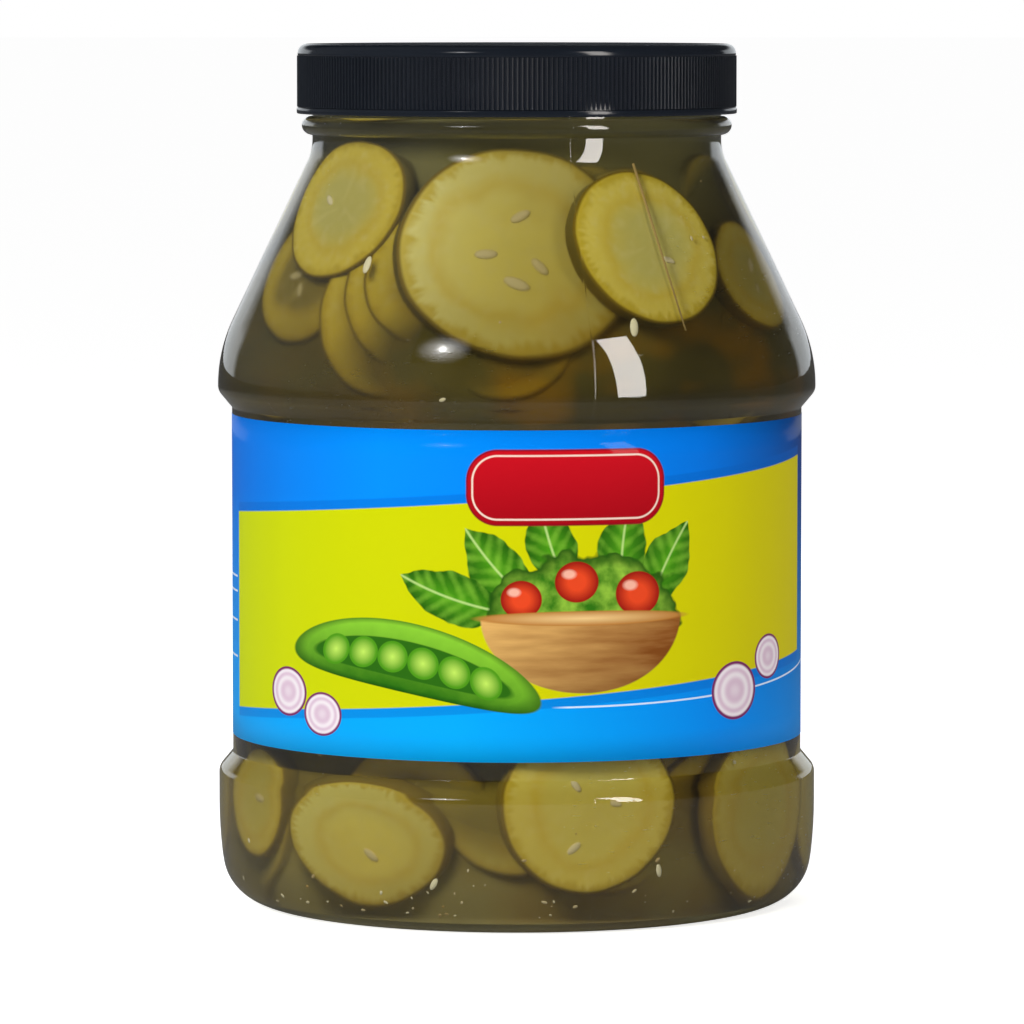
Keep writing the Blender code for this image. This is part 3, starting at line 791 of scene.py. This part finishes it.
def label_finish():
    finish = Finish("printed_film")
    around, rise, _ = finish.wrap()
    along = (around - 0.5) * LABEL_LONG
    high = rise * LABEL_TALL
    level = high - along * SLANT
    drift = finish.noise(9.0, 1.0)

    def local(at, up, turn=0.0, curve=0.0):
        """Coordinates about a place on the print, turned and with a curved long axis."""
        cos, sin = math.cos(math.radians(turn)), math.sin(math.radians(turn))
        x = (along - at) * cos + (high - up) * sin
        y = (high - up) * cos - (along - at) * sin
        return x, y + x * x * curve if curve else y

    def oval(x, y, wide, tall):
        """Distance from the middle of an oval, 1 on its rim."""
        return ((x / wide) * (x / wide) + (y / tall) * (y / tall)).math("SQRT")

    def inside(distance, soft=0.03):
        return 1.0 - distance.over(1.0, soft)

    def stripe(value, middle, half, soft):
        return 1.0 - (value - middle).math("ABSOLUTE").over(half, soft)

    round_ = ((along + 90.0) / 190.0).clamp()
    upper, lower = [
        finish.node("ShaderNodeValToRGB", {"stops": [(at, color(code)) for at, code in blues]}, {0: round_})
        for blues in (UPPER_BLUES, LOWER_BLUES)
    ]
    ink = finish.mix((high + (drift - 0.5) * 14.0).over(30.0, 60.0), lower, upper)
    within = stripe(along, (FIELD_LEFT + FIELD_RIGHT) / 2, (FIELD_RIGHT - FIELD_LEFT) / 2, 0.3)
    middle, half = (FIELD_BOTTOM + FIELD_TOP) / 2, (FIELD_TOP - FIELD_BOTTOM) / 2
    ink = finish.mix(stripe(level, middle, half + 2.2, 0.4) * within * 0.45, ink, color("0064c8"))
    yellow = finish.mix(round_, color("cddd00"), color("d8ca00"))
    ink = finish.mix(stripe(level, middle, half, 0.3) * within, ink, yellow)
    swoop = high - (along - 8.0) * (along - 8.0) * 0.0006
    ink = finish.mix(stripe(swoop, 12.8, 0.2, 0.12) * stripe(along, 56.0, 46.0, 4.0), ink, color("dcecff"))
    for height in (19.6, 28.3, 35.3, 38.9):
        rule = stripe(high, height, 0.25, 0.15) * stripe(along, -118.0, 26.0, 0.3)
        ink = finish.mix(rule, ink, color("dcecff"))

    crisp = finish.noise(260.0, 3.0)
    lumpy = finish.noise(150.0, 2.0)
    for at, up, long_, wide, turn in LEAVES:
        x, y = local(at, up, turn, 0.006)
        half_chord = (x / long_).math("MULTIPLY", x / long_)
        shape = y.math("ABSOLUTE") / wide + half_chord + (lumpy - 0.5) * 0.5
        veins = (x - y.math("ABSOLUTE") * 0.9).math("MULTIPLY", 1.7).math("SINE")
        green = finish.mix(shape.clamp(), color("4c9a14"), color("245f0a"))
        green = finish.mix((veins * 0.5 + 0.5) * 0.35 + (crisp - 0.5), green, color("8ecb3c"))
        green = finish.mix(stripe(y, 0.0, 0.25, 0.4) * 0.8, green, color("c8e88c"))
        ink = finish.mix(inside(shape, 0.06), ink, green)
    x, y = local(BOWL_MIDDLE, 36.0)
    mound = oval(x, y, 23.0, 12.5) + (lumpy - 0.5) * 0.7
    salad = finish.mix((crisp - 0.3).math("MULTIPLY", 2.0, clamp=True), color("2f7410"), color("a8d848"))
    ink = finish.mix(inside(mound, 0.05), ink, finish.mix(mound.over(0.85, 0.3), salad, color("1f500a")))
    for at, up, size in TOMATOES:
        x, y = local(at, up)
        ball = oval(x, y, size, size * 0.92)
        shine = oval(x + size * 0.35, y - size * 0.35, size * 0.3, size * 0.2)
        red = finish.mix(ball.over(0.7, 0.6), color("ea4a22"), color("96100c"))
        red = finish.mix(inside(shine, 0.6) * 0.8, red, color("ffc8b0"))
        ink = finish.mix(inside(ball, 0.05), ink, red)
    x, y = local(BOWL_MIDDLE, 34.0)
    bowl = (oval(x, y, 24.5, 18.0)).math("MAXIMUM", oval(x, y + 9.5, 60.0, 9.5))
    grain = (finish.noise(70.0, 3.0, (1.0, 1.0, 7.0)) - 0.5) * 0.9
    wood = finish.mix((x / 50.0 + 0.5 + grain).clamp(), color("e6b468"), color("8c4f1c"))
    wood = finish.mix((y / -26.0).clamp() * 0.6, wood, color("4a2408"))
    ink = finish.mix(inside(bowl, 0.02), ink, wood)
    rim = oval(x, y + 0.5, 25.3, 1.7)
    ink = finish.mix(inside(rim, 0.15), ink, finish.mix(rim.clamp(), color("f2cc8a"), color("b97a34")))
    x, y = local(-26.0, 24.0, -10.0, 0.0045)
    pod = oval(x, y, 33.0, 8.2)
    skin = finish.mix((y / 16.0 + 0.5 + (crisp - 0.5) * 0.25).clamp(), color("1f6a0a"), color("8fd236"))
    ink = finish.mix(inside(pod, 0.02), ink, finish.mix(pod.over(0.92, 0.12) * 0.6, skin, color("14480a")))
    slit = oval(x, y + 0.6, 26.0, 4.4)
    ink = finish.mix(inside(slit, 0.06), ink, color("2c6c10"))
    for step in range(PEAS):
        pea = oval(x - (step - (PEAS - 1) / 2) * PEA_STEP, y + 0.5, 3.9, 3.7)
        ball = finish.mix(pea.over(0.45, 0.9), color("c4ea62"), color("4f9a18"))
        ink = finish.mix(inside(pea, 0.06), ink, ball)
    for at, up, size in ONION_RINGS:
        x, y = local(at, up)
        ring = oval(x, y, size, size * 0.86)
        layers = ((ring * ring * 16.0).math("SINE") * 0.5 + 0.5) * 0.45
        disc = finish.mix(layers, color("f6ecf2"), color("c07fb0"))
        disc = finish.mix(ring.over(0.90, 0.06), disc, color("7c2a64"))
        ink = finish.mix(inside(ring), ink, disc)
    badge_x = ((along - BADGE_MIDDLE).math("ABSOLUTE") - BADGE_HALF_LONG).math("MAXIMUM", 0.0)
    badge_y = ((high - BADGE_HEIGHT).math("ABSOLUTE") - BADGE_HALF_TALL).math("MAXIMUM", 0.0)
    badge = (badge_x * badge_x + badge_y * badge_y).math("SQRT")
    red = finish.mix((high - 55.0).math("MULTIPLY", 0.05, clamp=True), color("a40414"), color("d01020"))
    ink = finish.mix(1.0 - badge.over(BADGE_CORNER + 0.4, 0.3), ink, color("8c0a1c"))
    ink = finish.mix(1.0 - badge.over(BADGE_CORNER, 0.3), ink, red)
    ink = finish.mix(stripe(badge, 5.9, 0.22, 0.2), ink, color("f4d8c8"))
    aside = along.math("ABSOLUTE")
    card = stripe(aside, BACK_PANEL, 34.0, 0.3) * stripe(high, BACK_HEIGHT, 30.0, 0.3)
    lines = stripe((high / RULE_STEP).math("FRACT"), 0.5, 0.10, 0.08)
    lines = lines * stripe(aside, BACK_PANEL, 30.0, 0.5)
    panel = finish.mix(lines * stripe(high, BACK_HEIGHT, 26.0, 0.2) * 0.5, color("f0f4f6"), color("2c5a94"))
    ink = finish.mix(card, ink, panel)
    ink = finish.mix(aside.over(LABEL_LONG / 2 - 6.0, 0.2) * 0.25, ink, color("003a86"))
    wrinkle = finish.noise(60.0, 2.0, (1.0, 1.0, 0.35))
    finish.set(Base_Color=ink, Roughness=0.5, Specular_IOR_Level=0.05)
    finish.set(Coat_Weight=0.12, Coat_Roughness=0.05)
    finish.bump(wrinkle, 0.4, 0.35 * MM)
    return finish.material


film = [(LABEL_RADIUS, LABEL_TOP), (LABEL_RADIUS, LABEL_BOTTOM)]
label = turned("label_film", [film[0]] + straight(*film, 12) + [film[1]], 256)
shell = label.modifiers.new("Film", "SOLIDIFY")
shell.thickness = 0.05 * MM
shell.offset = -1
label.data.materials.append(label_finish())
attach(label, "root")
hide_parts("label")


# Screw cap
# A moulded black plastic cap: flat top with a glossy rounded edge, upright ribs round the skirt for grip,
# and a smooth glossy band along the lower edge. It is screwed down to just above the support bead.
lid_low, lid_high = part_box("lid")
LID_RADIUS = (lid_high[0] - lid_low[0]) / 2
LID_TOP, LID_BOTTOM = lid_high[2], lid_low[2]
LID_RIB_ROOT = 52.50 * MM
LID_BAND_TOP = LID_BOTTOM + 1.6 * MM
LID_RIB_TOP = LID_TOP - 2.8 * MM
LID_RIBS = 288
LID_EDGE_ARC = 2.2 * MM
LID_WALL = 1.3 * MM


def black_plastic(name, roughness, gloss=0.30):
    finish = Finish(name)
    grain = finish.noise(2500.0, 2.0)
    sweep = finish.noise(40.0, 2.0)
    tone = finish.mix(sweep, color("11141a"), color("1b2028"))
    finish.set(Base_Color=tone, Roughness=roughness + (sweep - 0.5) * 0.06, Specular_IOR_Level=gloss)
    finish.bump(grain, 0.15, 0.05 * MM)
    return finish.material


edge_centre = (LID_RADIUS - 0.25 * MM - LID_EDGE_ARC, LID_TOP - LID_EDGE_ARC)
edge = arc(edge_centre, LID_EDGE_ARC, math.pi / 2, 0, 12)
band = arc((LID_RADIUS - 0.4 * MM, LID_BAND_TOP - 0.4 * MM), 0.4 * MM, math.pi / 2, 0, 4)
hem = arc((LID_RADIUS - 0.35 * MM, LID_BOTTOM + 0.35 * MM), 0.35 * MM, 0, -math.pi / 2, 4)
cap_outline = [(0.0, LID_TOP)] + edge + [(LID_RADIUS - 0.25 * MM, LID_RIB_TOP + 0.15 * MM)]
cap_outline += [(LID_RIB_ROOT, LID_RIB_TOP - 0.1 * MM), (LID_RIB_ROOT, LID_BAND_TOP)] + band + hem
cap_outline += [(LID_RIB_ROOT - LID_WALL, LID_BOTTOM), (LID_RIB_ROOT - LID_WALL, LIP_TOP + 0.3 * MM)]
cap_outline += [(0.0, LIP_TOP + 0.3 * MM)]
cap = turned("cap", cap_outline, 288)
cap.data.materials.append(black_plastic("black_plastic", 0.11))
cap.data.materials.append(black_plastic("cap_top", 0.60, 0.10))
for face in cap.data.polygons:
    face.material_index = int(face.center.z > LID_TOP - 0.02 * MM)
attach(cap, "root")
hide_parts("lid")


def rib_tree():
    """Geometry nodes: one rounded rib at each of evenly spaced places on a circle."""
    tree = bpy.data.node_groups.new("cap_ribs", "GeometryNodeTree")
    sockets = (("Ribs", "NodeSocketInt"), ("Radius", "NodeSocketFloat"), ("Width", "NodeSocketFloat"),
               ("Proud", "NodeSocketFloat"), ("Bottom", "NodeSocketFloat"), ("Top", "NodeSocketFloat"),
               ("Finish", "NodeSocketMaterial"))
    for name, kind in sockets:
        tree.interface.new_socket(name, in_out="INPUT", socket_type=kind)
    tree.interface.new_socket("Geometry", in_out="OUTPUT", socket_type="NodeSocketGeometry")
    nodes, links = tree.nodes, tree.links

    def add(kind, settings=None, inputs=None):
        made = nodes.new(kind)
        for name, value in (settings or {}).items():
            setattr(made, name, value)
        for name, value in (inputs or {}).items():
            if isinstance(value, bpy.types.NodeSocket):
                links.new(value, made.inputs[name])
            else:
                made.inputs[name].default_value = value
        return made

    given = add("NodeGroupInput").outputs
    circle = add("GeometryNodeMeshCircle", {}, {"Vertices": given["Ribs"], "Radius": given["Radius"]})
    tall = add("ShaderNodeMath", {"operation": "SUBTRACT"}, {0: given["Top"], 1: given["Bottom"]})
    bar = add("GeometryNodeMeshCylinder", {}, {"Vertices": 8, "Radius": 1.0, "Depth": tall.outputs[0]})
    size = add("ShaderNodeCombineXYZ", {}, {0: given["Proud"], 1: given["Width"], 2: 1.0})
    shaped = add("GeometryNodeTransform", {}, {"Geometry": bar.outputs["Mesh"], "Scale": size.outputs[0]})
    where = add("GeometryNodeInputPosition")
    facing = add("FunctionNodeAlignRotationToVector", {"axis": "X"}, {"Vector": where.outputs[0]})
    copies = add("GeometryNodeInstanceOnPoints", {}, {
        "Points": circle.outputs["Mesh"], "Instance": shaped.outputs[0], "Rotation": facing.outputs[0]})
    halves = {0: tall.outputs[0], 1: 0.5, 2: given["Bottom"]}
    middle = add("ShaderNodeMath", {"operation": "MULTIPLY_ADD"}, halves)
    rise = add("ShaderNodeCombineXYZ", {}, {2: middle.outputs[0]})
    moved = {"Geometry": copies.outputs[0], "Translation": rise.outputs[0]}
    raised = add("GeometryNodeTransform", {}, moved)
    real = add("GeometryNodeRealizeInstances", {}, {0: raised.outputs[0]})
    dressed = add("GeometryNodeSetMaterial", {}, {"Geometry": real.outputs[0], "Material": given["Finish"]})
    add("NodeGroupOutput", {}, {0: dressed.outputs[0]})
    return tree


def grown(name, tree, values):
    """A plain mesh made by a Geometry Nodes tree with the given inputs."""
    piece = bpy.data.objects.new(name, bpy.data.meshes.new(name + "_start"))
    in_scene(piece)
    modifier = piece.modifiers.new("Make", "NODES")
    modifier.node_group = tree
    for item in tree.interface.items_tree:
        if item.in_out == "INPUT" and item.name in values:
            modifier[item.identifier] = values[item.name]
    made = piece.evaluated_get(bpy.context.evaluated_depsgraph_get())
    mesh = bpy.data.meshes.new_from_object(made)
    piece.modifiers.remove(modifier)
    piece.data = mesh
    return piece


rib_values = {
    "Ribs": LID_RIBS, "Radius": LID_RIB_ROOT + 0.03 * MM, "Width": 0.36 * MM, "Proud": 0.36 * MM,
    "Bottom": LID_BAND_TOP + 0.1 * MM, "Top": LID_RIB_TOP, "Finish": black_plastic("rib_plastic", 0.42),
}
ribs = grown("cap_ribs", rib_tree(), rib_values)
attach(ribs, "root")
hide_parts("lid")


# Floor, lamps and camera
# A plain pale floor, one soft round lamp at the left and a tall soft box at the right, as the glints on the
# jar show them, and the camera at the photograph's angle.
FLOOR_SIZE = 60.0
FLOOR_GLOW = 0.68
AMBIENT, BEHIND_GLOSS, FRONT_GLOSS, SIDE_GLOSS = 0.33, 1.0, 0.04, 0.14
CAMERA_HEIGHT, CAMERA_DISTANCE, CAMERA_PITCH = 94.0 * MM, 1.6013, 4.5
CAMERA_LENS = 232.7
AXIS_ASIDE = -1.15 * MM
LAMP_AIM = Vector((0.0, 0.0, 0.11))
CORE_FALL, HALO_FALL = 12.0, 1.6


def pale_floor():
    finish = Finish("pale_floor")
    diffuse = finish.ray("Is Diffuse Ray")
    glossy = finish.ray("Is Glossy Ray")
    seen = finish.mix(glossy, (0.92, 0.92, 0.92), (0.22, 0.22, 0.22))
    finish.set(Base_Color=seen, Roughness=0.9, Specular_IOR_Level=0.0, Emission_Color=(1.0, 1.0, 1.0))
    finish.set(Emission_Strength=(1.0 - diffuse) * (1.0 - glossy) * FLOOR_GLOW)
    return finish.material


bpy.ops.mesh.primitive_plane_add(size=FLOOR_SIZE)
floor = bpy.context.object
floor.name = "floor"
floor.data.materials.append(pale_floor())


def lamp(name, azimuth, elevation, distance, size, power, glow, halo, tint=(1.0, 1.0, 1.0)):
    """An area lamp aimed at the middle of the jar, seen in the glints as a card with its own brightness.
    The halo is the share of the glow that spreads over a round card. Without one the lamp is a box."""
    turn, rise = math.radians(azimuth), math.radians(elevation)
    away = Vector((math.sin(turn) * math.cos(rise), -math.cos(turn) * math.cos(rise), math.sin(rise)))
    matrix = away.to_track_quat("Z", "Y").to_matrix().to_4x4()
    matrix.translation = LAMP_AIM + away * distance
    light = bpy.data.lights.new(name, "AREA")
    light.energy = power
    light.color = tint
    light.shape = "ELLIPSE" if halo else "RECTANGLE"
    light.size, light.size_y = size
    holder = bpy.data.objects.new(name, light)
    holder.matrix_world = matrix
    holder.visible_glossy = False
    holder.visible_transmission = False
    in_scene(holder)
    bpy.ops.mesh.primitive_plane_add(size=1.0)
    card = bpy.context.object
    card.name = name + "_card"
    card.data.transform(matrix @ Matrix.Diagonal((*size, 1.0, 1.0)))
    finish = Finish(name + "_card")
    across, upward, _ = finish.parts(finish.node("ShaderNodeUVMap", {}))
    across, upward = (across - 0.5) * 2.0, (upward - 0.5) * 2.0
    out = (across * across + upward * upward).math("SQRT")
    shape = (1.0 - out).clamp()
    spread = shape.math("POWER", CORE_FALL) * (1 - halo) + shape.math("POWER", HALO_FALL) * halo
    strength = spread * glow if halo else glow
    finish.set(Base_Color=(0.0, 0.0, 0.0), Emission_Color=tint, Emission_Strength=strength)
    finish.set(Specular_IOR_Level=0.0)
    finish.material.cycles.emission_sampling = "NONE"
    card.data.materials.append(finish.material)
    for ray in ("camera", "diffuse", "transmission", "shadow"):
        setattr(card, "visible_" + ray, False)


lamp("left_lamp", -31, 33, 1.3, (0.48, 0.48), 8.8, 60.0, 0.17)
lamp("back_fill", 196, 38, 1.3, (0.60, 0.60), 5.0, 0.0, 1.0)
lamp("right_box", 43, 20, 1.2, (0.23, 0.86), 2.4, 12.0, 0.0, (1.0, 0.95, 0.90))

world = bpy.data.worlds.new("studio")
bpy.context.scene.world = world
sky = Finish("studio", world)
diffuse = sky.ray("Is Diffuse Ray")
glossy = sky.ray("Is Glossy Ray")
across, along, upward = sky.parts(sky.node("ShaderNodeTexCoord", {}, {}, "Generated"))
level = (across * across + along * along + 0.0001).math("SQRT")
behind = (along / level).over(0.775, 0.05) * (1.0 - upward.over(0.20, 0.08))
aside = (across * -1.0 / level).over(0.65, 0.5)
mirrored = behind * (BEHIND_GLOSS - FRONT_GLOSS) + aside * SIDE_GLOSS + FRONT_GLOSS
plain = 1.0 - diffuse - glossy
sky.set(Strength=plain + diffuse * AMBIENT + glossy * mirrored)
sky.set(Color=sky.mix(glossy, (1.0, 1.0, 1.0), (0.91, 0.96, 1.0)))
world.cycles.sampling_method = "NONE"

camera_data = bpy.data.cameras.new("camera")
camera_data.lens = CAMERA_LENS
camera_data.sensor_width = 36.0
camera = bpy.data.objects.new("camera", camera_data)
pitch = math.radians(CAMERA_PITCH)
camera_rise = CAMERA_DISTANCE * math.sin(pitch)
camera.location = (AXIS_ASIDE, -CAMERA_DISTANCE * math.cos(pitch), CAMERA_HEIGHT + camera_rise)
camera.rotation_euler = (math.pi / 2 - pitch, 0.0, 0.0)
in_scene(camera)
bpy.context.scene.camera = camera
bpy.context.scene.view_settings.view_transform = "Standard"
